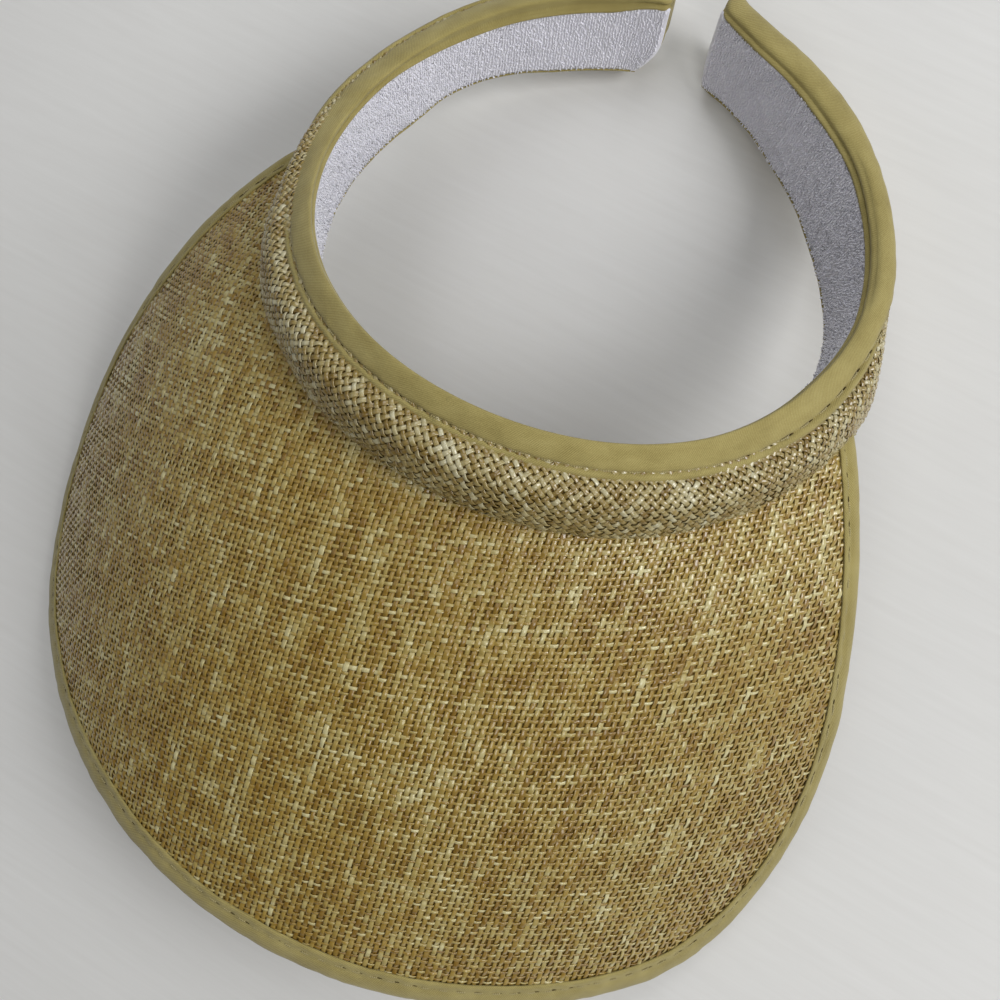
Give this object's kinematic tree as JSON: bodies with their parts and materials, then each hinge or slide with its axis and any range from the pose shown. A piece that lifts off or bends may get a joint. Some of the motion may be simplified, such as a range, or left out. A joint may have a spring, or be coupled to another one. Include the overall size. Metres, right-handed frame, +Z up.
{
  "type": "sun visor",
  "caption": "Clip-on sun visor: wide arched straw brim sewn to a padded C-shaped headband whose two sprung arms flex apart.",
  "frame": {"origin": "centre of the bounding box's footprint, on the surface the visor rests on", "axes": "+Z up, the brim points towards -Y, +X is to the right seen from the front; X = 0 is the brim's plane of symmetry"},
  "size_m": [0.2672, 0.3092, 0.1082],
  "materials": {
    "straw": "woven paper straw",
    "tape": "khaki twill tape",
    "terry": "looped terry",
    "lining": "plain woven lining",
    "board": "matte",
    "foam": "open foam",
    "spring": "matte",
    "thread": "thread"
  },
  "bodies": {
    "visor": {"brim_straw_top": "straw", "brim_stiffener": "board", "brim_lining": "lining", "brim_edge_binding": "tape", "brim_edge_stitching": "thread", "brim_seam_stitching": "thread", "front_band_cover": "straw", "front_foam": "foam", "front_spring_strip": "spring", "front_sweatband": "terry", "front_top_binding": "tape", "front_top_stitching": "thread"},
    "left_arm": {"left_arm_cover": "straw", "left_arm_foam": "foam", "left_arm_spring_strip": "spring", "left_arm_sweatband": "terry", "left_arm_top_binding": "tape", "left_arm_top_stitching": "thread", "left_arm_end_tab": "tape"},
    "right_arm": {"right_arm_cover": "straw", "right_arm_foam": "foam", "right_arm_spring_strip": "spring", "right_arm_sweatband": "terry", "right_arm_top_binding": "tape", "right_arm_top_stitching": "thread", "right_arm_end_tab": "tape"}
  },
  "joints": [
    {"name": "left_arm_flex", "type": "hinge", "parent": "visor", "child": "left_arm", "pos_m": [-0.06909, 0.10705, 0.03472], "axis": [0, 0.5218, 0.8531], "range_deg": [-2.5, 22], "stiffness_Nm_per_rad": 0.45},
    {"name": "right_arm_flex", "type": "hinge", "parent": "visor", "child": "right_arm", "pos_m": [0.06909, 0.10705, 0.03472], "axis": [0, -0.5218, -0.8531], "range_deg": [-2.5, 22], "stiffness_Nm_per_rad": 0.45}
  ]
}
